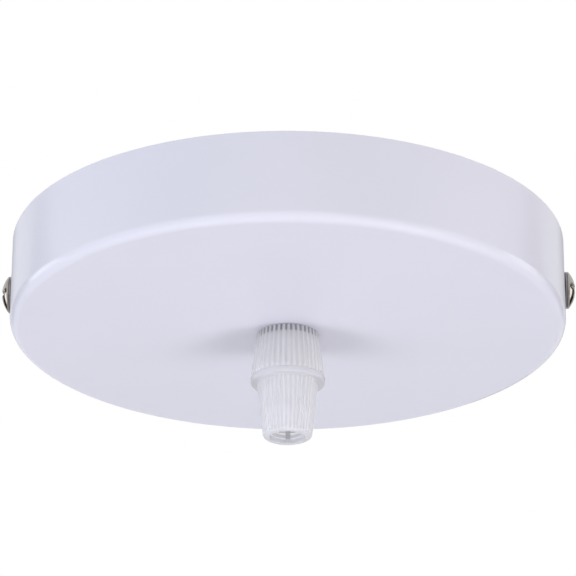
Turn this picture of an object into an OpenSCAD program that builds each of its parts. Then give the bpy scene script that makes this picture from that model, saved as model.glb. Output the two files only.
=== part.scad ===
// Ceiling canopy for a pendant lamp: a pressed steel cup on a strip bracket, with a clear cord grip.
// Origin at the centre of the ceiling plane, everything hangs below it, and the side screws lie along X.

/* [Canopy cup] */
// Outside diameter of the cup
canopy_d = 120; // [100:1:160]
// Height of the cup from its rim to its underside
canopy_h = 19.5; // [18:0.5:40]
// Thickness of the pressed sheet
sheet_t = 0.8; // [0.6:0.1:1.5]
// Outside radius of the bend between wall and bottom
bend_r = 2; // [1.6:0.1:4]
// Clearance all round a screw or tube in its punched hole
hole_clearance = 0.2; // [0.1:0.05:0.4]

/* [Mounting bracket] */
// Width of the strip
strip_w = 20; // [16:1:26]
// Thickness of the strip
strip_t = 1.5; // [1:0.1:2]
// Inside radius of the strip's two bends
strip_bend_r = 1; // [0.5:0.1:2]
// Length of the tabs below the axis of the side screws
tab_below_screw = 5.25; // [4:0.25:7]
// Radius of the tabs' lower corners
tab_corner_r = 3; // [1:0.5:6]
// Clearance between the tabs' edges and the cup's wall
tab_clearance = 0.35; // [0.2:0.05:1]
// Distance between the centres of the two ceiling slots
slot_spacing = 65; // [60:1:70]
// Length of a ceiling slot
slot_l = 25; // [15:1:28]
// Width of a ceiling slot
slot_w = 5; // [4:0.5:6]
// Diameter of the cable hole in the middle
cable_hole_d = 12; // [8:1:13]
// Height of the drawn collar round a threaded hole
draw_h = 2; // [1.2:0.1:2.4]
// Wall of the drawn collar
draw_wall = 1; // [0.6:0.1:1.4]

/* [Screws] */
// Thread diameter of the side screws and the earth screw
screw_d = 4; // [3:0.5:5]
// Radial clearance between a thread and the hole it turns in
thread_clearance = 0.05; // [0.02:0.01:0.1]
// Length of a side screw under its head
side_screw_l = 8; // [7:0.5:12]
// Diameter of a side screw's head
head_d = 8; // [6.5:0.5:9]
// Height of a side screw's head
head_h = 1.85; // [1.6:0.05:3]
// Height of the straight rim below a head's dome
head_rim_h = 0.35; // [0.2:0.05:1]
// Width of the screwdriver slot
recess_w = 1; // [0.6:0.1:1.4]
// Depth of the screwdriver slot
slot_depth = 1; // [0.6:0.1:1.2]
// Depth of the cross recess
cross_depth = 1.5; // [0.8:0.1:1.6]
// Length of the cross recess from arm to arm
cross_l = 4.6; // [3:0.2:5.5]
// Chamfer at a screw's tip
tip_chamfer = 0.5; // [0.2:0.1:0.8]
// Turn of the left screw's slot from upright
left_slot_turn = 80; // [0:5:180]
// Turn of the right screw's slot from upright
right_slot_turn = 90; // [0:5:180]
// Diameter of the washer under a side screw
washer_d = 8; // [7:0.5:10]
// Thickness of the washer under a side screw
washer_t = 0.45; // [0.3:0.05:0.8]

/* [Earth terminal] */
// Distance of the earth screw from the middle of the strip
earth_x = 13; // [12:0.5:14]
// Diameter of the earth screw's head
earth_head_d = 7; // [6:0.5:8]
// Height of the earth screw's head
earth_head_h = 2.2; // [1.8:0.1:3]
// Distance from the earth screw's tip to the ceiling
earth_tip_gap = 0.1; // [0:0.1:1]
// Side of the square clamp washer
clamp_plate_w = 8; // [7.5:0.5:9]
// Thickness of the clamp washer
clamp_plate_t = 1; // [0.8:0.1:1.4]
// Height of the clamp washer's two turned edges
clamp_lip_h = 0.8; // [0.4:0.1:1.2]
// Outside diameter of the toothed washer under the earth screw
earth_washer_d = 7.6; // [7:0.2:9]
// Thickness of the toothed washers
tooth_washer_t = 0.6; // [0.4:0.1:1]

/* [Cord grip body] */
// Outside diameter of the threaded tube
tube_d = 10; // [9:0.5:11]
// Wall of the tube, round the bore for the cord
tube_wall = 1.25; // [1:0.05:2]
// Length of the tube above the cup's underside
stem_h = 10; // [8:0.5:12]
// Height of the collar
grip_collar_h = 10.2; // [8:0.2:14]
// Diameter of the collar at the cup
collar_top_d = 13.7; // [13:0.1:15]
// Diameter of the collar at its lower edge
collar_low_d = 15.8; // [15:0.1:18]
// Chamfer round the collar's top
collar_chamfer = 0.7; // [0.3:0.1:1]
// Thickness of the collar's closed top
collar_top_t = 1.9; // [1.2:0.1:3]
// Thickness of the collar's skirt
collar_wall = 1.1; // [0.8:0.1:1.4]
// Length of the tube below the collar
tube_below = 7.7; // [6:0.1:10]
// Number of ribs round the collar and the cap
rib_count = 40; // [24:1:60]
// Height of the ribs
rib_h = 0.25; // [0.1:0.05:0.4]

/* [Cord grip cap] */
// Gap between the collar and the tightened cap
cap_gap = 0.1; // [0.05:0.05:0.4]
// Diameter of the cap's flange
flange_d = 16.1; // [15:0.1:18]
// Thickness of the cap's flange
flange_t = 1.3; // [1:0.1:2]
// Radius of the flange's lower edge
flange_edge_r = 0.5; // [0.2:0.1:0.8]
// Wall of the cap's barrel under its flange
barrel_wall = 1.55; // [1.2:0.05:2]
// How far the barrel's tip stands outside the thread bore
barrel_tip_wall = 0.25; // [0.1:0.05:0.8]
// Radius of the tip's rounded edge
tip_edge_r = 0.9; // [0.4:0.1:1]
// Step from the roots of the ribs in to the plain tip
tip_step = 0.05; // [0.02:0.01:0.2]
// Thickness of the end wall round the cord
cap_end_t = 1; // [0.8:0.1:1.5]
// Wall beside the lower end of the conical seat
seat_wall = 1; // [0.8:0.1:1.2]
// Width of the lip that holds the clamp ring in
cap_lip = 0.3; // [0.2:0.05:0.8]

/* [Clamp ring] */
// Clearance round the clamp ring in its conical seat
ring_clearance = 0.15; // [0.1:0.05:0.3]
// Height of the clamp ring
ring_h = 4.8; // [3:0.1:7]
// Wall of the clamp ring at its thin end
ring_wall = 0.4; // [0.3:0.05:0.8]
// Width of the slit that lets it close on the cord
ring_slit_w = 1; // [0.6:0.1:2]
// Height of the grip ridges in its bore
ridge_h = 0.3; // [0.1:0.05:0.4]
// Number of grip ridges
ridge_count = 3; // [2:1:4]

/* [Lock nut] */
// Width of the lock nut across its flats
nut_af = 14; // [13:0.5:17]
// Height of the lock nut
nut_h = 3; // [2:0.5:5]
// Outside diameter of the toothed washer under the lock nut
lock_washer_d = 16; // [15:0.5:18]
// Number of teeth of a toothed washer
tooth_count = 14; // [8:1:20]
// Share of a toothed washer's width that its teeth take
tooth_share = 0.45; // [0.3:0.05:0.6]

/* [Hidden] */
$fn = 96;
cut = 1;
tip_join = 0.2;
canopy_r = canopy_d / 2;
cup_bottom_z = -canopy_h;
cup_floor_z = cup_bottom_z + sheet_t;
side_screw_z = -canopy_h / 2;
tab_h = tab_below_screw - side_screw_z;
tab_x = sqrt(pow(canopy_r - sheet_t, 2) - pow(strip_w / 2, 2)) - tab_clearance;
strip_bend_out = strip_bend_r + strip_t;
thread_hole_d = screw_d;
shank_d = thread_hole_d - 2 * thread_clearance;
punched_d = screw_d + 2 * hole_clearance;
draw_d = thread_hole_d + 2 * draw_wall;
earth_seat_z = -strip_t - draw_h;
clamp_plate_z = earth_seat_z - clamp_plate_t;
earth_washer_z = clamp_plate_z - tooth_washer_t;
earth_screw_l = -earth_washer_z - earth_tip_gap;
tube_bore_d = tube_d - 2 * tube_wall;
tube_top_z = cup_bottom_z + stem_h;
collar_low_z = cup_bottom_z - grip_collar_h;
tube_end_z = collar_low_z - tube_below;
cap_top_z = collar_low_z - cap_gap;
cap_bore_d = tube_d + 2 * thread_clearance;
seat_top_z = tube_end_z - cap_gap;
seat_low_z = seat_top_z - ring_h;
cap_end_z = seat_low_z - cap_end_t;
barrel_top_d = cap_bore_d + 2 * barrel_wall;
barrel_low_d = cap_bore_d + 2 * barrel_tip_wall;
seat_low_d = barrel_low_d - 2 * rib_h - 2 * seat_wall;
cord_hole_d = seat_low_d - 2 * cap_lip;
ring_low_d = seat_low_d - 2 * ring_clearance;
ring_top_d = cap_bore_d - 2 * ring_clearance;
nut_z = cup_floor_z + tooth_washer_t;
rib_steps = [0, 0.2, 0.5, 0.7];
tooth_steps = [0, 0.08, 0.5, 0.58];

// A quarter of a disc round the origin, in the quadrant of +X and -Y
module quarter_disc(r) {
    intersection() {
        circle(r);
        translate([0, -r - cut]) square(r + cut);
    }
}

// The same quarter of a ring, as the section of a bent sheet
module bend_section(outer_r, t) {
    difference() {
        quarter_disc(outer_r);
        circle(outer_r - t);
    }
}

// Half of a disc's section, from y = 0 down to y = -h, with its lower edge rounded
module rounded_disc_section(r, h, edge_r) {
    translate([0, -h]) square([r - edge_r, h]);
    translate([r - edge_r, -h + edge_r]) square([edge_r, h - edge_r]);
    translate([r - edge_r, -h + edge_r]) quarter_disc(edge_r);
}

// A slot along X with round ends
module slot_section(l, w) {
    square([l - w, w], center = true);
    for (side = [-1, 1]) translate([side * (l - w) / 2, 0]) intersection() {
        circle(d = w);
        translate([side * w / 2, 0]) square([w, 2 * w], center = true);
    }
}

// A tapered round body with ribs all round it, from d1 at z = 0 to d2 at z = h
module ribbed_cone(d1, d2, h) {
    pitch = 360 / rib_count;
    ribs = [for (i = [0 : rib_count - 1]) for (step = [0 : 3])
        let (r = d1 / 2 - (step == 1 || step == 2 ? 0 : rib_h), a = pitch * (i + rib_steps[step]))
        r * [cos(a), sin(a)]];
    linear_extrude(h, scale = d2 / d1) polygon(ribs);
}

// A pan head screw that points down, with the underside of its head at z = 0
module pan_head_screw(l, d, h) {
    dome_h = h - head_rim_h;
    dome_r = (pow(d / 2, 2) + pow(dome_h, 2)) / (2 * dome_h);
    difference() {
        rotate_extrude() intersection() {
            square([d / 2, h + cut]);
            translate([0, h - dome_r]) circle(dome_r);
        }
        translate([-d, -recess_w / 2, h - slot_depth]) cube([2 * d, recess_w, slot_depth + cut]);
        for (turn = [0, 90]) rotate(turn)
            translate([-cross_l / 2, -recess_w / 2, h - cross_depth])
                cube([cross_l, recess_w, cross_depth + cut]);
    }
    translate([0, 0, -l + tip_chamfer]) cylinder(h = l - tip_chamfer, d = shank_d);
    translate([0, 0, -l]) cylinder(h = tip_chamfer, d1 = shank_d - 2 * tip_chamfer, d2 = shank_d);
}

// A toothed lock washer with its lower face at z = 0
module toothed_washer(outer_d, bore_d) {
    root_r = outer_d / 2 - tooth_share * (outer_d - bore_d) / 2;
    pitch = 360 / tooth_count;
    teeth = [for (i = [0 : tooth_count - 1]) for (step = [0 : 3])
        let (r = step == 1 || step == 2 ? outer_d / 2 : root_r, a = pitch * (i + tooth_steps[step]))
        r * [cos(a), sin(a)]];
    linear_extrude(tooth_washer_t) difference() {
        polygon(teeth);
        circle(d = bore_d);
    }
}

// Moves a piece that points up to the wall's screw axis, pointing outwards on one side
module at_side(side, distance, turn = 0) {
    translate([side * distance, 0, side_screw_z]) rotate([0, side * 90, 0]) rotate(turn) children();
}

module canopy_cup() {
    color("lavender") difference() {
        rotate_extrude() {
            translate([0, cup_bottom_z]) square([canopy_r - bend_r, sheet_t]);
            translate([canopy_r - bend_r, cup_bottom_z + bend_r]) bend_section(bend_r, sheet_t);
            translate([canopy_r - sheet_t, cup_bottom_z + bend_r]) square([sheet_t, canopy_h - bend_r]);
        }
        translate([0, 0, cup_bottom_z - cut])
            cylinder(h = sheet_t + 2 * cut, d = tube_d + 2 * hole_clearance);
        for (side = [-1, 1]) at_side(side, canopy_r - sheet_t - cut)
            cylinder(h = sheet_t + 2 * cut, d = punched_d);
    }
}

// One bent tab of the bracket, on the side of +X
module bracket_tab() {
    tab_top = -strip_bend_out;
    translate([tab_x - strip_t, 0, 0]) rotate([90, 0, 90]) linear_extrude(strip_t) {
        translate([-strip_w / 2, -tab_h + tab_corner_r]) square([strip_w, tab_h + tab_top - tab_corner_r]);
        translate([-strip_w / 2 + tab_corner_r, -tab_h]) square([strip_w - 2 * tab_corner_r, tab_corner_r]);
        for (side = [0, 1]) mirror([side, 0]) translate([strip_w / 2 - tab_corner_r, -tab_h + tab_corner_r])
            quarter_disc(tab_corner_r);
    }
    at_side(1, tab_x - strip_t - draw_h) cylinder(h = draw_h, d = draw_d);
}

module mounting_bracket() {
    color("silver") difference() {
        union() {
            web_l = 2 * (tab_x - strip_bend_out);
            translate([-web_l / 2, -strip_w / 2, -strip_t]) cube([web_l, strip_w, strip_t]);
            for (side = [0, 1]) mirror([side, 0, 0]) {
                translate([tab_x - strip_bend_out, strip_w / 2, -strip_bend_out]) rotate([90, 0, 0])
                    linear_extrude(strip_w) mirror([0, 1]) bend_section(strip_bend_out, strip_t);
                bracket_tab();
            }
            translate([earth_x, 0, earth_seat_z]) cylinder(h = draw_h, d = draw_d);
        }
        for (side = [-1, 1]) {
            translate([side * slot_spacing / 2, 0, -strip_t - cut])
                linear_extrude(strip_t + 2 * cut) slot_section(slot_l, slot_w);
            at_side(side, tab_x - strip_t - draw_h - cut)
                cylinder(h = strip_t + draw_h + 2 * cut, d = thread_hole_d);
        }
        translate([0, 0, -strip_t - cut]) cylinder(h = strip_t + 2 * cut, d = cable_hole_d);
        translate([earth_x, 0, earth_seat_z - cut])
            cylinder(h = strip_t + draw_h + 2 * cut, d = thread_hole_d);
    }
}

module side_screw(side, turn) {
    color("gainsboro") at_side(side, canopy_r + washer_t, turn) pan_head_screw(side_screw_l, head_d, head_h);
}

module side_washer(side) {
    color("dimgray") at_side(side, canopy_r) difference() {
        cylinder(h = washer_t, d = washer_d);
        translate([0, 0, -cut]) cylinder(h = washer_t + 2 * cut, d = punched_d);
    }
}

module earth_screw() {
    color("goldenrod") translate([earth_x, 0, earth_washer_z]) mirror([0, 0, 1])
        pan_head_screw(earth_screw_l, earth_head_d, earth_head_h);
}

module earth_lock_washer() {
    color("gray") translate([earth_x, 0, earth_washer_z]) toothed_washer(earth_washer_d, punched_d);
}

// A square washer whose turned edges stand up beside the drawn collar and hold the wire in
module earth_clamp_washer() {
    lip_t = (clamp_plate_w - draw_d) / 2 - hole_clearance;
    color("khaki") translate([earth_x, 0, clamp_plate_z]) difference() {
        union() {
            translate([-clamp_plate_w / 2, -clamp_plate_w / 2, 0])
                cube([clamp_plate_w, clamp_plate_w, clamp_plate_t]);
            for (side = [-1, 1])
                translate([-clamp_plate_w / 2, side * (clamp_plate_w - lip_t) / 2 - lip_t / 2, clamp_plate_t])
                    cube([clamp_plate_w, lip_t, clamp_lip_h]);
        }
        translate([0, 0, -cut]) cylinder(h = clamp_plate_t + 2 * cut, d = punched_d);
    }
}

module grip_body() {
    skirt_h = grip_collar_h - collar_chamfer;
    space_h = grip_collar_h - collar_top_t;
    space_low_d = collar_low_d - 2 * collar_wall;
    space_top_d = collar_top_d - 2 * collar_wall;
    space_taper = (space_low_d - space_top_d) / space_h;
    color("lightgray") difference() {
        union() {
            translate([0, 0, collar_low_z]) difference() {
                union() {
                    ribbed_cone(collar_low_d, collar_top_d, skirt_h);
                    translate([0, 0, skirt_h]) cylinder(h = collar_chamfer,
                        d1 = collar_top_d - 2 * rib_h, d2 = collar_top_d - 2 * rib_h - 2 * collar_chamfer);
                }
                translate([0, 0, -cut])
                    cylinder(h = space_h + cut, d1 = space_low_d + cut * space_taper, d2 = space_top_d);
            }
            translate([0, 0, tube_end_z]) cylinder(h = tube_top_z - tube_end_z, d = tube_d);
        }
        translate([0, 0, tube_end_z - cut]) cylinder(h = tube_top_z - tube_end_z + 2 * cut, d = tube_bore_d);
    }
}

module grip_cap() {
    barrel_h = cap_top_z - cap_end_z - flange_t - tip_edge_r;
    color("whitesmoke") difference() {
        union() {
            translate([0, 0, cap_top_z]) rotate_extrude()
                rounded_disc_section(flange_d / 2, flange_t, flange_edge_r);
            translate([0, 0, cap_top_z - flange_t]) mirror([0, 0, 1])
                ribbed_cone(barrel_top_d, barrel_low_d, barrel_h);
            translate([0, 0, cap_end_z + tip_edge_r + tip_join]) rotate_extrude()
                rounded_disc_section(barrel_low_d / 2 - rib_h - tip_step, tip_edge_r + tip_join, tip_edge_r);
        }
        translate([0, 0, seat_top_z]) cylinder(h = cap_top_z - seat_top_z + cut, d = cap_bore_d);
        translate([0, 0, seat_low_z]) cylinder(h = seat_top_z - seat_low_z, d1 = seat_low_d, d2 = cap_bore_d);
        translate([0, 0, cap_end_z - cut]) cylinder(h = cap_end_t + 2 * cut, d = cord_hole_d);
    }
}

module grip_clamp() {
    ridge_pitch = ring_h / (ridge_count + 1);
    root_r = ring_low_d / 2 - ring_wall;
    color("white") translate([0, 0, seat_low_z]) difference() {
        rotate_extrude() {
            polygon([[root_r, 0], [ring_low_d / 2, 0], [ring_top_d / 2, ring_h], [root_r, ring_h]]);
            for (i = [1 : ridge_count]) translate([root_r, i * ridge_pitch])
                polygon([[0, -ridge_h], [0, ridge_h], [-ridge_h, 0]]);
        }
        translate([-ring_slit_w / 2, 0, -cut]) cube([ring_slit_w, ring_top_d, ring_h + 2 * cut]);
    }
}

module lock_nut() {
    color("silver") translate([0, 0, nut_z]) difference() {
        cylinder(h = nut_h, d = nut_af / cos(30), $fn = 6);
        translate([0, 0, -cut]) cylinder(h = nut_h + 2 * cut, d = tube_d + 2 * thread_clearance);
    }
}

module lock_washer() {
    color("gray") translate([0, 0, cup_floor_z]) toothed_washer(lock_washer_d, tube_d + 2 * hole_clearance);
}

canopy_cup();
mounting_bracket();
side_screw(-1, left_slot_turn);  // side_screw_left
side_screw(1, right_slot_turn);  // side_screw_right
side_washer(-1);  // side_washer_left
side_washer(1);  // side_washer_right
earth_screw();
earth_lock_washer();
earth_clamp_washer();
grip_body();
grip_clamp();
grip_cap();
lock_nut();
lock_washer();
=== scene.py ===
# Dresses the ceiling canopy: white powder coat, clear cord grip, plated screws and a soft white studio.
import math

import bmesh
import bpy
from mathutils import Matrix, Vector


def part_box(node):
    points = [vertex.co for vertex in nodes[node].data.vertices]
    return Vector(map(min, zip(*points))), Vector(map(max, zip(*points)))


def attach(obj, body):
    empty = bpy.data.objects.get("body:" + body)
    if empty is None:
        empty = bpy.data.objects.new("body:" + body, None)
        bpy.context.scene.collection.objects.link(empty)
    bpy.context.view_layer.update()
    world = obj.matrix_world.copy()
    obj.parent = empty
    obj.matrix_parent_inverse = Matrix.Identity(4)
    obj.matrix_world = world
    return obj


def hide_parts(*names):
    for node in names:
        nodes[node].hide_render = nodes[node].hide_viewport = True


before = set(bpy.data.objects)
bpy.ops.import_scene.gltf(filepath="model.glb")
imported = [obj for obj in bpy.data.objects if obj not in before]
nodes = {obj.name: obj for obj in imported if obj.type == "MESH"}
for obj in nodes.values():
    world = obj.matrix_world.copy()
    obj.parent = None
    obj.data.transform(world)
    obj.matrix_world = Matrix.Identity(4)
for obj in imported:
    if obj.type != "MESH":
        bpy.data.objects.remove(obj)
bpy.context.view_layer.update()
mm = 0.001
print("frame loaded:", len(nodes), "nodes")


# Camera: a long lens, well below the ceiling and in front of the canopy

camera = {
    "lens": 193.1,  # mm on a 36 mm sensor
    "distance": 675.6,  # mm from the middle of the ceiling plane
    "below": 23.91,  # degrees under the horizon
    "lookUp": 23.24,  # degrees of tilt
    "roll": 0.19,  # degrees, the picture turns clockwise
    "round": 1.7,  # degrees round the canopy, so the left screw is the farther one
}


def makeCamera(c):
    data = bpy.data.cameras.new("camera")
    data.lens = c["lens"]
    data.sensor_width = 36
    data.clip_start = 0.01
    data.clip_end = 20
    item = bpy.data.objects.new("camera", data)
    bpy.context.scene.collection.objects.link(item)
    below = math.radians(c["below"])
    place = Vector((0, -math.cos(below), -math.sin(below))) * c["distance"] * mm
    tilt = Matrix.Rotation(math.radians(90 + c["lookUp"]), 4, "X")
    roll = Matrix.Rotation(math.radians(c["roll"]), 4, "Z")
    orbit = Matrix.Rotation(math.radians(c["round"]), 4, "Z")
    item.matrix_world = orbit @ Matrix.Translation(place) @ tilt @ roll
    bpy.context.scene.camera = item


makeCamera(camera)
print("camera placed")


# Small tools for materials

def linear(code):
    # sRGB hex to the linear colour that shaders take
    parts = [int(code[i:i + 2], 16) / 255 for i in (1, 3, 5)]
    return tuple(v / 12.92 if v <= 0.04045 else ((v + 0.055) / 1.055) ** 2.4 for v in parts) + (1.0,)


def addNode(tree, kind, settings=None, links=None):
    # adds one node, sets its properties and sockets, then links what feeds it
    node = tree.nodes.new(kind)
    for name, value in (settings or {}).items():
        if isinstance(name, int) or name in node.inputs:
            node.inputs[name].default_value = value
        else:
            setattr(node, name, value)
    for name, socket in (links or {}).items():
        tree.links.new(socket, node.inputs[name])
    return node


def startMaterial(name):
    material = bpy.data.materials.new(name)
    material.use_nodes = True
    tree = material.node_tree
    tree.nodes.clear()
    return material, tree, addNode(tree, "ShaderNodeTexCoord").outputs["Object"]


def grain(tree, where, size, detail=2.0, stretch=(1, 1, 1), reach=None):
    # noise whose lumps are about this many mm across, spread over a range of values where one is given
    mapped = addNode(tree, "ShaderNodeMapping", {"Scale": stretch}, {"Vector": where}).outputs["Vector"]
    settings = {"Scale": 1 / (size * mm), "Detail": detail, "Roughness": 0.5}
    value = addNode(tree, "ShaderNodeTexNoise", settings, {"Vector": mapped}).outputs["Fac"]
    if reach:
        settings = {"From Min": 0.3, "From Max": 0.7, "To Min": reach[0], "To Max": reach[1]}
        value = addNode(tree, "ShaderNodeMapRange", settings, {"Value": value}).outputs["Result"]
    return value


# Materials, each named for what the real one is

powder = {
    "colour": "#E1E0EB",  # cool, faintly lavender white
    "shade": "#DFDEE9",
    "peelSize": 1.6,  # mm, orange peel of a baked powder coat
    "peelDepth": 0.004,  # mm
    "roughness": 0.36,
    "gloss": 0.4,  # share of the smooth skin on top
    "glossRoughness": 0.09,
}


def powderCoatedSteel(p):
    # Baked polyester powder: even, satin, with a soft mirror image only at a low angle
    material, tree, where = startMaterial("powderCoatedSteel")
    settings = {"data_type": "RGBA", 6: linear(p["colour"]), 7: linear(p["shade"])}
    cloud = grain(tree, where, 30, reach=(0, 1))
    colour = addNode(tree, "ShaderNodeMix", settings, {0: cloud}).outputs[2]
    rough = grain(tree, where, 3, reach=(p["roughness"] - 0.03, p["roughness"] + 0.03))
    peel = grain(tree, where, p["peelSize"])
    bump = addNode(tree, "ShaderNodeBump", {"Strength": 1.0, "Distance": p["peelDepth"] * mm}, {"Height": peel})
    settings = {"IOR": 1.5, "Coat Weight": p["gloss"], "Coat Roughness": p["glossRoughness"], "Coat IOR": 1.5}
    shader = addNode(tree, "ShaderNodeBsdfPrincipled", settings, {
        "Base Color": colour, "Roughness": rough, "Normal": bump.outputs["Normal"]})
    addNode(tree, "ShaderNodeOutputMaterial", links={"Surface": shader.outputs["BSDF"]})
    return material


def platedMetal(name, colour, shade, roughness, streak, streakSize, depth):
    # Plated metal: colour from the plate, gloss broken by the drawn or rolled grain under it
    material, tree, where = startMaterial(name)
    settings = {"data_type": "RGBA", 6: linear(colour), 7: linear(shade)}
    cloud = grain(tree, where, 2.5, 3, reach=(0, 1))
    tone = addNode(tree, "ShaderNodeMix", settings, {0: cloud}).outputs[2]
    lines = grain(tree, where, streakSize, 4, streak)
    rough = grain(tree, where, streakSize, 4, streak, (roughness * 0.8, roughness * 1.25))
    bump = addNode(tree, "ShaderNodeBump", {"Strength": 1.0, "Distance": depth * mm}, {"Height": lines})
    shader = addNode(tree, "ShaderNodeBsdfPrincipled", {"Metallic": 1.0}, {
        "Base Color": tone, "Roughness": rough, "Normal": bump.outputs["Normal"]})
    addNode(tree, "ShaderNodeOutputMaterial", links={"Surface": shader.outputs["BSDF"]})
    return material


ribbing = {
    "count": 40,  # round the collar and the cap
    "phase": 0.7 * math.pi,  # sets where the first rib stands
}

clearGrip = {
    "roughness": 0.12,
    "rippleSize": 1.3,  # mm, faint flow ripple of a moulded part
    "rippleDepth": 0.004,  # mm
}


def clearPolycarbonate(name, tint, valley, haze, lamps, p, paintedBands=(), roots=None):
    # Injection moulded clear plastic: milky in its thick parts, with a painted shade that greys the valleys
    # between its ribs
    material, tree, where = startMaterial(name)
    parts = addNode(tree, "ShaderNodeSeparateXYZ", links={0: where}).outputs
    if roots:
        # on a thread the valleys that take the painted shade are its roots, found by their radius in mm
        flat = addNode(tree, "ShaderNodeCombineXYZ", links={"X": parts["X"], "Y": parts["Y"]}).outputs[0]
        wave = addNode(tree, "ShaderNodeVectorMath", {"operation": "LENGTH"}, {0: flat}).outputs["Value"]
        settings = {"From Min": roots[0] * mm, "From Max": roots[1] * mm}
    else:
        angle = addNode(tree, "ShaderNodeMath", {"operation": "ARCTAN2"}, {0: parts["Y"], 1: parts["X"]})
        settings = {"operation": "MULTIPLY_ADD", 1: ribbing["count"], 2: -ribbing["phase"]}
        phase = addNode(tree, "ShaderNodeMath", settings, {0: angle.outputs[0]}).outputs[0]
        wave = addNode(tree, "ShaderNodeMath", {"operation": "COSINE"}, {0: phase}).outputs[0]
        settings = {"From Min": -0.7, "From Max": 0.3}
    crest = addNode(tree, "ShaderNodeMapRange", settings, {"Value": wave}).outputs[0]
    valleyShadeMask = addNode(tree, "ShaderNodeMath", {"operation": "SUBTRACT", 0: 1.0}, {1: crest}).outputs[0]
    # painted shade: the valley colour is mixed in away from the crests
    settings = {"data_type": "RGBA", 6: linear(valley), 7: linear(tint)}
    colour = addNode(tree, "ShaderNodeMix", settings, {0: crest}).outputs[2]
    for code, low, high, onCrest in paintedBands:
        # a band of height, in mm, where the valleys get a deeper painted shade or the crests a painted
        # highlight
        settings = {"From Min": low * mm, "From Max": high * mm}
        band = addNode(tree, "ShaderNodeMapRange", settings, {"Value": parts["Z"]}).outputs[0]
        share = addNode(tree, "ShaderNodeMath", {"operation": "MULTIPLY"}, {
            0: band, 1: crest if onCrest else valleyShadeMask}).outputs[0]
        settings = {"data_type": "RGBA", 7: linear(code)}
        colour = addNode(tree, "ShaderNodeMix", settings, {0: share, 6: colour}).outputs[2]
    ripple = grain(tree, where, p["rippleSize"])
    settings = {"Strength": 1.0, "Distance": p["rippleDepth"] * mm}
    bump = addNode(tree, "ShaderNodeBump", settings, {"Height": ripple})
    settings = {"IOR": 1.58, "Transmission Weight": 1 - haze, "Roughness": p["roughness"]}
    shader = addNode(tree, "ShaderNodeBsdfPrincipled", settings, {
        "Base Color": colour, "Normal": bump.outputs["Normal"]})
    # lamps shine through it, as they do through the real plastic
    rays = addNode(tree, "ShaderNodeLightPath")
    through = addNode(tree, "ShaderNodeBsdfTransparent", {"Color": linear(lamps)})
    mix = addNode(tree, "ShaderNodeMixShader", links={
        0: rays.outputs["Is Shadow Ray"], 1: shader.outputs["BSDF"], 2: through.outputs["BSDF"]})
    addNode(tree, "ShaderNodeOutputMaterial", links={"Surface": mix.outputs["Shader"]})
    return material


coat = powderCoatedSteel(powder)
# two shades, roughness, then the stretch of the grain, its size in mm and its depth in mm
nickel = platedMetal("nickelPlatedSteel", "#A7A29B", "#979189", 0.13, (1, 1, 1), 0.5, 0.001)
zinc = platedMetal("zincPlatedSteel", "#C3C7CC", "#B2B7BE", 0.33, (0.15, 1, 1), 0.6, 0.003)
dulled = platedMetal("dulledSteel", "#8C8A8C", "#7A787B", 0.32, (1, 1, 1), 0.4, 0.002)
springSteel = platedMetal("platedSpringSteel", "#A5A6A6", "#8E8F90", 0.3, (1, 1, 1), 0.4, 0.002)
brass = platedMetal("turnedBrass", "#D9B56A", "#C9A255", 0.22, (1, 1, 0.2), 0.3, 0.001)

# tint, painted shade for the valleys, haze, and what the lamps shine through as: the thicker the wall, the
# milkier
collarPaintedBands = (
    ("#ABABB1", -21.4, -20.9, False),  # painted shade, darkening the valleys at the top
    ("#FFFFFF", -29.1, -29.4, True),  # painted highlight on the rib ends at the bottom
)
clearCollar = clearPolycarbonate("clearPolycarbonateCollar", "#FBFAFA", "#F0EFF2", 0.58, "#DCDCDC",
                                 clearGrip, collarPaintedBands)
# its thread roots are darkened by a strong painted shade
clearTube = clearPolycarbonate("clearPolycarbonateTube", "#F8F7F8", "#9A9AA4", 0.8, "#E4E4E4",
                               clearGrip, roots=(4.5, 4.85))
clearCap = clearPolycarbonate("clearPolycarbonateCap", "#F1F0F3", "#EAE9ED", 0.58, "#E4E4E4", clearGrip)
clearFlange = clearPolycarbonate("clearPolycarbonateFlange", "#E9E8EC", "#E9E8EC", 0.6, "#E4E4E4", clearGrip)
clearRing = clearPolycarbonate("clearPolycarbonateRing", "#F0EFF1", "#F0EFF1", 0.8, "#E4E4E4", clearGrip)
print("materials made")


# Small tools for meshes

def finishMesh(name, work, material, sharp=32, weld=1e-7):
    # welds, turns the faces outwards and shades smooth between sharp edges
    bmesh.ops.remove_doubles(work, verts=work.verts, dist=weld)
    bmesh.ops.dissolve_degenerate(work, edges=work.edges, dist=weld)
    bmesh.ops.recalc_face_normals(work, faces=work.faces)
    data = bpy.data.meshes.new(name)
    work.to_mesh(data)
    work.free()
    data.materials.append(material)
    data.shade_smooth()
    data.set_sharp_from_angle(angle=math.radians(sharp))
    item = bpy.data.objects.new(name, data)
    bpy.context.scene.collection.objects.link(item)
    return item


def skin(work, rings):
    # faces between each ring of points and the next
    rows = len(rings[0])
    for a, b in zip(rings, rings[1:]):
        for j in range(rows):
            k = (j + 1) % rows
            work.faces.new((a[j], a[k], b[k], b[j]))


def turned(section, columns):
    # a turned body: section(angle) gives its outline as (radius, height) in mm
    work = bmesh.new()
    rings = []
    for i in range(columns + 1):
        angle = 2 * math.pi * i / columns
        c, s = math.cos(angle) * mm, math.sin(angle) * mm
        rings.append([work.verts.new((r * c, r * s, z * mm)) for r, z in section(angle)])
    skin(work, rings)
    return work


def arc(cr, cz, radius, start, end, steps):
    # points of a round stretch of an outline, angles in degrees
    points = []
    for i in range(steps + 1):
        a = math.radians(start + (end - start) * i / steps)
        points.append((cr + radius * math.cos(a), cz + radius * math.sin(a)))
    return points


def line(r0, z0, r1, z1, steps):
    return [(r0 + (r1 - r0) * i / steps, z0 + (z1 - z0) * i / steps) for i in range(steps + 1)]


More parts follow.
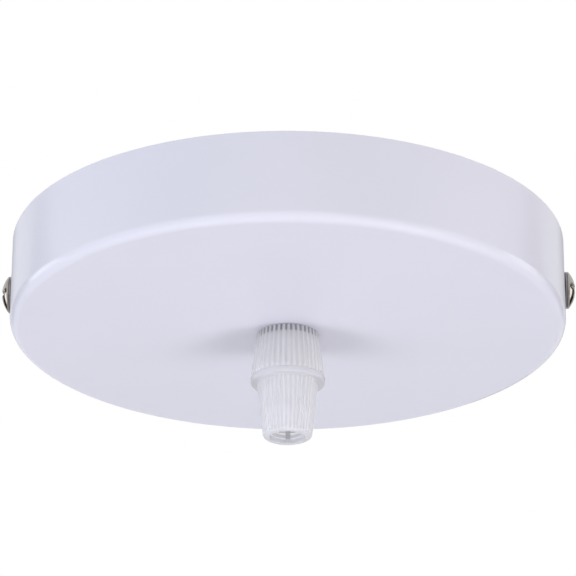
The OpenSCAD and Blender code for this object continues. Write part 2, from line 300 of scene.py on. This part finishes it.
def threadRows(angle, low, high, core, crest, pitch, perTurn=6, runOut=0.6, up=True):
    # rows that climb with the helix, so the crest stays on one row, with both ends run out to the core
    count = int((high - low) / pitch * perTurn) + 2 * perTurn
    shift = angle / (2 * math.pi) * pitch
    rows = []
    for j in range(count + 1):
        z = low + (j / perTurn - 1) * pitch + shift
        z = min(max(z, low), high)
        phase = (j % perTurn) / perTurn
        tooth = 1 - abs(2 * phase - 1)
        fade = min(1, (z - low) / runOut, (high - z) / runOut)
        rows.append((core + (crest - core) * tooth * max(fade, 0), z))
    return rows if up else rows[::-1]


def adopt(item, node, body):
    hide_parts(node)
    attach(item, body)
    return item


def paint(node, material):
    data = nodes[node].data
    data.materials.clear()
    data.materials.append(material)


def paintPart(item, material, chosen):
    # gives the faces that chosen(radius, height) picks, in mm, a second material
    item.data.materials.append(material)
    for face in item.data.polygons:
        x, y, z = face.center / mm
        if chosen(math.hypot(x, y), z):
            face.material_index = 1


# Cord grip

lowBody, highBody = (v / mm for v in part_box("grip_body"))
lowCap, highCap = (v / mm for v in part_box("grip_cap"))
lowRing, highRing = (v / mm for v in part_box("grip_clamp"))

grip = {
    "ribHeight": 0.25,  # mm
    "pitch": 1.0,  # mm, fine M10 thread
    "crest": 4.98,  # mm, thread radius
    "core": 4.42,
    "bore": 3.75,
    "collarTop": -19.5,  # height where it meets the cup
    "collarLow": -29.7,
    "topWall": 1.9,
    "topRadius": 6.85,
    "lowRadius": 7.9,
    "skirtWall": 1.1,
    "chamfer": 0.7,
    "edge": 0.18,  # rounding of moulded edges
    "ribBevel": 0.6,  # mm, sloping lower ends of the collar's ribs
}


def ribWave(angle):
    # 1 on a rib's crest and 0 in the valley between two
    wave = math.cos(ribbing["count"] * angle - ribbing["phase"])
    return min(max(0.5 + 0.9 * wave, 0), 1)


def gripBodySection(angle):
    g = grip
    rib = g["ribHeight"] * (1 - ribWave(angle))
    top, low, e = g["collarTop"], g["collarLow"], g["edge"]
    roof = top - g["topWall"]
    skirtTop = top - g["chamfer"]
    outline = threadRows(angle, top, highBody.z - 0.4, g["core"], g["crest"], g["pitch"], up=False)
    outline = [(g["bore"] + 0.25, highBody.z), (g["core"] - 0.1, highBody.z)] + outline
    outline += [(g["crest"], top), (g["topRadius"] - g["chamfer"] - g["ribHeight"] - 0.15, top)]
    shoulder = arc(g["topRadius"] - g["chamfer"], skirtTop, g["chamfer"], 80, 10, 6)
    outline += [(r - rib, z) for r, z in shoulder]
    for r, z in line(g["topRadius"], skirtTop - 0.15, g["lowRadius"], low + g["ribBevel"], 14):
        outline.append((r - rib, z))
    valley = g["lowRadius"] - g["ribHeight"]
    for r, z in line(g["lowRadius"], low + g["ribBevel"], valley, low + e, 5)[1:]:
        outline.append((min(r, g["lowRadius"] - rib), z))
    outline += arc(valley - e, low + e, e, -15, -90, 3)
    inLow, inTop = g["lowRadius"] - g["skirtWall"], g["topRadius"] - g["skirtWall"]
    outline += arc(inLow + e, low + e, e, 270, 190, 3)
    outline += line(inLow, low + 2 * e, inTop, roof - 0.3, 6)
    outline += arc(inTop - 0.3, roof - 0.3, 0.3, 0, 90, 3)
    outline += threadRows(angle, lowBody.z + 0.4, roof, g["core"], g["crest"], g["pitch"], up=False)
    outline += [(g["core"] - 0.15, lowBody.z), (g["bore"] + 0.15, lowBody.z)]
    outline += line(g["bore"], lowBody.z + 0.15, g["bore"], highBody.z - 0.25, 6)
    return outline


cap = {
    "flangeRadius": 8.05,
    "flange": 1.3,  # mm thick
    "barrelTop": 6.6,
    "barrelLow": 5.3,
    "tipRadius": 0.9,
    "holeRadius": 3.75,
    "seatLow": 4.05,
    "endWall": 1.0,
    "threadCore": 4.5,
    "threadRoot": 5.05,
    "threadEnd": 0.4,  # mm above the clamp ring
    "edge": 0.2,
}


def capSection(angle):
    g, c = grip, cap
    rib = g["ribHeight"] * (1 - ribWave(angle))
    top, tip = highCap.z, lowCap.z
    under = top - c["flange"]
    seat = tip + c["endWall"]
    seatTop = highRing.z
    e = c["edge"]
    outline = [(c["threadRoot"] + 0.1, top), (c["flangeRadius"] - e, top)]
    outline += arc(c["flangeRadius"] - e, top - e, e, 75, 0, 3)
    outline += arc(c["flangeRadius"] - 0.45, under + 0.45, 0.45, -10, -90, 6)
    outline += arc(c["barrelTop"] + 0.25, under - 0.25, 0.25, 90, 170, 4)
    for r, z in line(c["barrelTop"] - 0.02, under - 0.35, c["barrelLow"], tip + c["tipRadius"], 16):
        outline.append((r - rib, z))
    r0 = c["barrelLow"] - g["ribHeight"] - c["tipRadius"]
    fade = [rib, rib * 0.8, rib * 0.4, 0, 0, 0, 0, 0, 0]
    for (r, z), f in zip(arc(r0 + g["ribHeight"], tip + c["tipRadius"], c["tipRadius"], -5, -90, 8), fade):
        outline.append((r - f, z))
    outline += arc(c["holeRadius"] + e, tip + e, e, 270, 185, 3)
    outline += line(c["holeRadius"], tip + 2 * e, c["holeRadius"], seat, 2)
    outline += line(c["seatLow"], seat, c["threadRoot"], seatTop, 6)
    return outline + threadRows(angle, seatTop + c["threadEnd"], top - 0.1, c["threadRoot"], c["threadCore"],
                                g["pitch"])


ring = {
    "slit": 1.0,  # mm wide
    "ridges": 3,
    "ridgeHeight": 0.3,
    "wallLow": 0.4,
    "radiusLow": 3.9,
    "radiusTop": 4.9,
    "edge": 0.1,
    "columns": 120,
}


def makeClampRing(c):
    # split cone with grip ridges in its bore, open at the back
    low, high = lowRing.z, highRing.z
    height = high - low
    bore = c["radiusLow"] - c["wallLow"]
    e = c["edge"]
    outline = [(c["radiusLow"] - e, low), (c["radiusLow"], low + e), (c["radiusTop"], high - e)]
    outline += [(c["radiusTop"] - e, high), (bore + e, high), (bore, high - e)]
    step = height / (c["ridges"] + 1)
    for i in range(c["ridges"], 0, -1):
        z = low + i * step
        outline += [(bore, z + c["ridgeHeight"]), (bore - c["ridgeHeight"], z), (bore, z - c["ridgeHeight"])]
    outline += [(bore, low + e), (bore + e, low)]
    work = bmesh.new()
    rings = []
    for i in range(c["columns"] + 1):
        row = []
        for r, z in outline:
            half = math.asin(c["slit"] / 2 / r)
            angle = math.pi / 2 + half + (2 * math.pi - 2 * half) * i / c["columns"]
            row.append(work.verts.new((r * math.cos(angle) * mm, r * math.sin(angle) * mm, z * mm)))
        rings.append(row)
    skin(work, rings)
    work.faces.new(rings[0])
    work.faces.new(rings[-1][::-1])
    return finishMesh("clampRing", work, clearRing)


columns = ribbing["count"] * 8
gripBody = finishMesh("gripBody", turned(gripBodySection, columns), clearCollar, 38)
paintPart(gripBody, clearTube, lambda radius, z: radius < grip["crest"] + 0.05)
adopt(gripBody, "grip_body", "canopy")
gripCap = finishMesh("gripCap", turned(capSection, columns), clearCap, 38)
flangeLow = highCap.z - cap["flange"] - 0.3
paintPart(gripCap, clearFlange, lambda radius, z: z > flangeLow and radius > cap["threadRoot"])
adopt(gripCap, "grip_cap", "cord_cap")
clampRing = makeClampRing(ring)
adopt(clampRing, "grip_clamp", "clamp_ring")
print("cord grip made:", len(gripBody.data.polygons) + len(gripCap.data.polygons), "faces")


# Screws

screw = {
    "rim": 0.35,  # mm, straight side of the head
    "edge": 0.12,
    "bevel": 0.05,
    "slotWidth": 1.0,
    "slotDepth": 1.0,
    "crossLength": 4.6,
    "crossDepth": 1.5,
    "crest": 1.95,  # mm, thread radius
    "core": 1.62,
    "pitch": 0.7,
    "side": {"length": 8.0, "radius": 4.0, "height": 1.85},  # mm, the last two of the head
    "earth": {"length": 5.0, "radius": 3.5, "height": 2.2},
}


def boxCutter(length, width, depth, top, taper=0.0):
    # a bar for cutting a recess, narrower at its lower end by taper mm all round
    work = bmesh.new()
    lengths = (length, length - 2 * taper)
    widths = (width, width - taper)
    corners = []
    for size, wide, z in ((lengths[0], widths[0], top + 1), (lengths[0], widths[0], top),
                          (lengths[1], widths[1], top - depth)):
        corners.append([work.verts.new((x * size / 2 * mm, y * wide / 2 * mm, z * mm))
                        for x, y in ((-1, -1), (1, -1), (1, 1), (-1, 1))])
    skin(work, corners)
    work.faces.new(corners[0])
    work.faces.new(corners[-1])
    return finishMesh("cutter", work, nickel)


def applyModifiers(item):
    graph = bpy.context.evaluated_depsgraph_get()
    data = bpy.data.meshes.new_from_object(item.evaluated_get(graph))
    item.modifiers.clear()
    item.data = data


def breakEdges(item, width, sharp):
    # bevels the sharp edges by width mm and shades smooth between those that stay
    tool = item.modifiers.new("bevel", "BEVEL")
    tool.width = width * mm
    tool.segments = 2
    tool.limit_method = "ANGLE"
    tool.angle_limit = math.radians(35)
    bpy.context.view_layer.update()
    applyModifiers(item)
    item.data.shade_smooth()
    item.data.set_sharp_from_angle(angle=math.radians(sharp))


def carve(item, cutters, bevel):
    # cuts the cutters out of the item, then breaks its sharp edges
    for cutter in cutters:
        tool = item.modifiers.new("cut", "BOOLEAN")
        tool.operation = "DIFFERENCE"
        tool.solver = "EXACT"
        tool.object = cutter
    bpy.context.view_layer.update()
    applyModifiers(item)
    for cutter in cutters:
        bpy.data.objects.remove(cutter)
    breakEdges(item, bevel, 32)


def makeScrew(name, s, size, material):
    # pan head screw pointing down, underside of the head at height 0
    length, radius, height = size["length"], size["radius"], size["height"]
    dome = height - s["rim"]
    domeRadius = (radius ** 2 + dome ** 2) / (2 * dome)
    rimAngle = math.degrees(math.asin(radius / domeRadius))

    def section(angle):
        outline = [(0, 0)]
        outline += [(radius - s["edge"], 0), (radius, s["edge"]), (radius, s["rim"] - 0.05)]
        outline += arc(0, height - domeRadius, domeRadius, 90 - rimAngle + 0.6, 90, 18)
        return outline

    head = finishMesh(name, turned(section, 96), material)
    bars = [boxCutter(radius * 3, s["slotWidth"], s["slotDepth"], height)]
    for turn in (0, 90):
        bar = boxCutter(s["crossLength"], s["slotWidth"], s["crossDepth"], height, 0.35)
        bar.data.transform(Matrix.Rotation(math.radians(turn), 4, "Z"))
        bars.append(bar)
    carve(head, bars, s["bevel"])

    def shank(angle):
        outline = [(0, 0.3), (s["core"], 0.3), (s["core"], -0.4)]
        outline += threadRows(angle, -length + 0.45, -0.4, s["core"], s["crest"], s["pitch"], 6, 0.35, False)
        outline += [(s["core"] - 0.3, -length), (0, -length)]
        return outline

    body = finishMesh(name + "Shank", turned(shank, 48), material)
    work = bmesh.new()
    work.from_mesh(head.data)
    work.from_mesh(body.data)
    work.to_mesh(head.data)
    work.free()
    bpy.data.objects.remove(body)
    return head


def sideScrew(name, side, turn, node, body):
    # side is -1 or 1, and turn is how far its recess stands round, in degrees
    item = makeScrew(name, screw, screw["side"], nickel)
    low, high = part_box(node)
    seat = (low.x if side > 0 else high.x) + side * screw["side"]["length"] * mm
    place = Matrix.Translation((seat, 0, (low.z + high.z) / 2))
    item.data.transform(place @ Matrix.Rotation(math.radians(90 * side), 4, "Y")
                        @ Matrix.Rotation(math.radians(turn), 4, "Z"))
    return adopt(item, node, body)


sideScrew("sideScrewLeft", -1, 80, "side_screw_left", "left_screw")
sideScrew("sideScrewRight", 1, 90, "side_screw_right", "right_screw")
print("screws made")


# Steel and brass pieces

def softened(name, node, material, width, body, shape=None):
    # a copy of the CAD piece with its sharp edges broken, and its points moved by shape
    work = bmesh.new()
    work.from_mesh(nodes[node].data)
    bmesh.ops.remove_doubles(work, verts=work.verts, dist=1e-6)
    bmesh.ops.dissolve_limit(work, angle_limit=math.radians(1.5), verts=work.verts, edges=work.edges)
    if shape:
        for vert in work.verts:
            shape(vert.co)
    item = finishMesh(name, work, material, 35)
    breakEdges(item, width, 35)
    return adopt(item, node, body)


lockTeeth = {
    "count": 14,
    "twist": 0.35,  # share of the thickness that each edge is turned by
    "root": 0.86,  # where the teeth start, as a share of the outer radius
    "phase": 0.29,  # of a tooth, where the first one starts
}


def twistTeeth(node, c):
    # turns each tooth of a lock washer about its own radial line, so that its edges bite
    low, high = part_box(node)
    middle = (low + high) / 2
    outer = (high.x - low.x) / 2
    root = outer * c["root"]
    pitch = 2 * math.pi / c["count"]
    half = (high.z - low.z) / 2

    def shape(point):
        x, y = point.x - middle.x, point.y - middle.y
        radius = math.hypot(x, y)
        if radius > root:
            share = (math.atan2(y, x) / pitch - c["phase"]) % 1
            side = 1 if share < 0.5 else -1
            up = point.z - middle.z
            point.z = middle.z + up * (1 - c["twist"]) + side * half * c["twist"]
    return shape


softened("bracket", "mounting_bracket", zinc, 0.15, "canopy")
softened("sideWasherLeft", "side_washer_left", dulled, 0.08, "left_washer")
softened("sideWasherRight", "side_washer_right", dulled, 0.08, "right_washer")
softened("earthClampWasher", "earth_clamp_washer", brass, 0.12, "earth_washers")
softened("earthLockWasher", "earth_lock_washer", springSteel, 0.04, "earth_washers",
         twistTeeth("earth_lock_washer", lockTeeth))
softened("lockWasher", "lock_washer", springSteel, 0.05, "canopy",
         twistTeeth("lock_washer", lockTeeth))

lowNut, highNut = (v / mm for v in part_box("lock_nut"))
nut = {
    "flats": 14.0,  # mm across
    "chamferStart": 6.6,  # radius where the chamfer meets the face
    "chamferStep": 0.085,  # mm of height between its points
    "core": 4.55,
    "root": 5.05,
}


def nutSection(angle):
    # hexagon with both ends turned to 30 degrees, and a fine thread inside
    c = nut
    corner = math.pi / 3
    flat = c["flats"] / 2 / math.cos(angle % corner - corner / 2)
    low, high = lowNut.z, highNut.z
    outline = threadRows(angle, low, high, c["root"], c["core"], grip["pitch"], 6, 0.5)[::-1]
    for i in range(11):
        z = low + c["chamferStep"] * i
        outline.append((min(flat, c["chamferStart"] + (z - low) * math.sqrt(3)), z))
    for i in range(10, -1, -1):
        z = high - c["chamferStep"] * i
        outline.append((min(flat, c["chamferStart"] + (high - z) * math.sqrt(3)), z))
    return outline


lockNut = finishMesh("lockNut", turned(nutSection, 240), zinc, 25)
adopt(lockNut, "lock_nut", "canopy")

earthScrew = makeScrew("earthScrew", screw, screw["earth"], brass)
lowEarth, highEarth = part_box("earth_screw")
earthPlace = Vector(((lowEarth.x + highEarth.x) / 2, 0, lowEarth.z + screw["earth"]["height"] * mm))
earthScrew.data.transform(Matrix.Translation(earthPlace) @ Matrix.Rotation(math.pi, 4, "X"))
adopt(earthScrew, "earth_screw", "earth_screw")
paint("canopy_cup", coat)
print("steel and brass pieces made")


# Studio: white surroundings, soft light from the front and both sides, a pale floor far below

studio = {
    "fill": 0.41,  # even light from all round
    "evenColour": "#F8F8FC",
    "curtain": ((0, 0.92, 0.4), 0.25, 0.5),  # direction, and the spread of its even part and of its edge
    "curtainLevel": 0.35,  # grey, beyond the canopy, mirrored at its rim
    "flags": ((0.83, 0.5, -0.1), 0.5, 0.55),
    "flagLevel": 0.02,  # black, at both sides, mirrored by the screw heads
    "floorDepth": 1.15,  # m below the ceiling
    "floorReach": 4.4,  # m to each side
    "floor": "#F4F4F6",
    "glow": 0.85,  # how far camera and glass see the floor as plain white
    "mirrorGlow": 0.45,  # the same for reflections
}


def near(tree, where, centre, inner, outer):
    # 1 inside a cone round a direction, 0 outside it
    gap = addNode(tree, "ShaderNodeVectorMath", {"operation": "DISTANCE", 1: centre}, {0: where})
    settings = {"interpolation_type": "SMOOTHSTEP", "From Min": outer, "From Max": inner}
    return addNode(tree, "ShaderNodeMapRange", settings, {"Value": gap.outputs["Value"]}).outputs["Result"]


def seenDirectly(tree, rays):
    # 1 for what the camera sees, straight or by way of metal and glass
    seen = rays.outputs["Is Camera Ray"]
    for kind in ("Is Glossy Ray", "Is Transmission Ray"):
        links = {0: seen, 1: rays.outputs[kind]}
        seen = addNode(tree, "ShaderNodeMath", {"operation": "MAXIMUM"}, links).outputs[0]
    return seen


def makeWorld(s):
    world = bpy.data.worlds.new("studio")
    bpy.context.scene.world = world
    world.use_nodes = True
    tree = world.node_tree
    tree.nodes.clear()
    rays = addNode(tree, "ShaderNodeLightPath")
    # the mirrored room is the same on both sides, so X is taken without its sign
    around = addNode(tree, "ShaderNodeTexCoord").outputs["Generated"]
    parts = addNode(tree, "ShaderNodeSeparateXYZ", links={0: around}).outputs
    side = addNode(tree, "ShaderNodeMath", {"operation": "ABSOLUTE"}, {0: parts["X"]}).outputs[0]
    links = {"X": side, "Y": parts["Y"], "Z": parts["Z"]}
    where = addNode(tree, "ShaderNodeCombineXYZ", links=links).outputs[0]
    settings = {"data_type": "FLOAT", 2: 1.0, 3: s["curtainLevel"]}
    room = addNode(tree, "ShaderNodeMix", settings, {0: near(tree, where, *s["curtain"])}).outputs[0]
    settings = {"data_type": "FLOAT", 3: s["flagLevel"]}
    room = addNode(tree, "ShaderNodeMix", settings, {0: near(tree, where, *s["flags"]), 2: room}).outputs[0]
    even = addNode(tree, "ShaderNodeBackground", {"Color": linear(s["evenColour"]), "Strength": s["fill"]})
    # camera, glass and metal all see the white background, and metal its flags as well
    settings = {"data_type": "FLOAT", 2: 1.0}
    strength = addNode(tree, "ShaderNodeMix", settings, {0: rays.outputs["Is Glossy Ray"], 3: room}).outputs[0]
    white = addNode(tree, "ShaderNodeBackground", {"Color": (1, 1, 1, 1)}, {"Strength": strength})
    mix = addNode(tree, "ShaderNodeMixShader", links={
        0: seenDirectly(tree, rays), 1: even.outputs[0], 2: white.outputs[0]})
    addNode(tree, "ShaderNodeOutputWorld", links={"Surface": mix.outputs[0]})


def softBox(name, place, aim, width, height, power, colour, mirrored=False):
    # place, aim and size in m, power in W; mirrored lamps show in metal and glass
    data = bpy.data.lights.new(name, "AREA")
    data.shape = "RECTANGLE"
    data.size = width
    data.size_y = height
    data.energy = power
    data.color = linear(colour)[:3]
    item = bpy.data.objects.new(name, data)
    bpy.context.scene.collection.objects.link(item)
    item.visible_glossy = mirrored
    item.visible_transmission = mirrored
    item.location = place
    item.rotation_euler = (Vector(aim) - Vector(place)).to_track_quat("-Z", "Y").to_euler()
    return item


def makeFloor(s):
    work = bmesh.new()
    reach = s["floorReach"]
    work.faces.new([work.verts.new((x * reach, y * reach, -s["floorDepth"]))
                    for x, y in ((-1, -1), (1, -1), (1, 1), (-1, 1))])
    material, tree = startMaterial("paleFloor")[:2]
    shader = addNode(tree, "ShaderNodeBsdfPrincipled", {"Base Color": linear(s["floor"]), "Roughness": 0.8})
    glow = addNode(tree, "ShaderNodeEmission", {"Color": (1, 1, 1, 1), "Strength": 1.0})
    rays = addNode(tree, "ShaderNodeLightPath")
    settings = {"operation": "MULTIPLY", 1: s["glow"]}
    share = addNode(tree, "ShaderNodeMath", settings, {0: seenDirectly(tree, rays)}).outputs[0]
    settings = {"data_type": "FLOAT", 3: s["mirrorGlow"]}
    share = addNode(tree, "ShaderNodeMix", settings, {0: rays.outputs["Is Glossy Ray"], 2: share}).outputs[0]
    mix = addNode(tree, "ShaderNodeMixShader", links={0: share, 1: shader.outputs["BSDF"], 2: glow.outputs[0]})
    addNode(tree, "ShaderNodeOutputMaterial", links={"Surface": mix.outputs[0]})
    return finishMesh("floor", work, material)


makeWorld(studio)
softBox("leftBox", (-0.42, -0.2, -0.6), (0, 0, -0.03), 0.24, 0.34, 1.86, "#F6F8FF")
softBox("rightBox", (0.42, -0.2, -0.6), (0, 0, -0.03), 0.24, 0.34, 1.93, "#FBFBFF")
softBox("lowBox", (0, 0.1, -0.78), (0, 0.06, -0.02), 0.8, 0.1, 0.11, "#FBFBFF", True)
softBox("frontBox", (0, -1.1, 0.06), (0, 0, -0.02), 1.0, 0.4, 2.6, "#FFFFFF")
softBox("leftFill", (-0.95, -0.5, 0.06), (0, 0, -0.02), 0.5, 0.4, 3.1, "#E6F1FF")
softBox("rightFill", (0.95, -0.5, 0.06), (0, 0, -0.02), 0.5, 0.4, 2.3, "#FFFFFF")
for side in (-1, 1):
    kicker = softBox("kicker", (side * 1.33, 0.46, -0.02), (0, 0, -0.01), 0.56, 0.72, 3.0, "#FFFFFF", True)
    kicker.visible_diffuse = False  # it only puts the glint on the screws
makeFloor(studio)
scene = bpy.context.scene
scene.view_settings.view_transform = "Standard"
print("studio made")
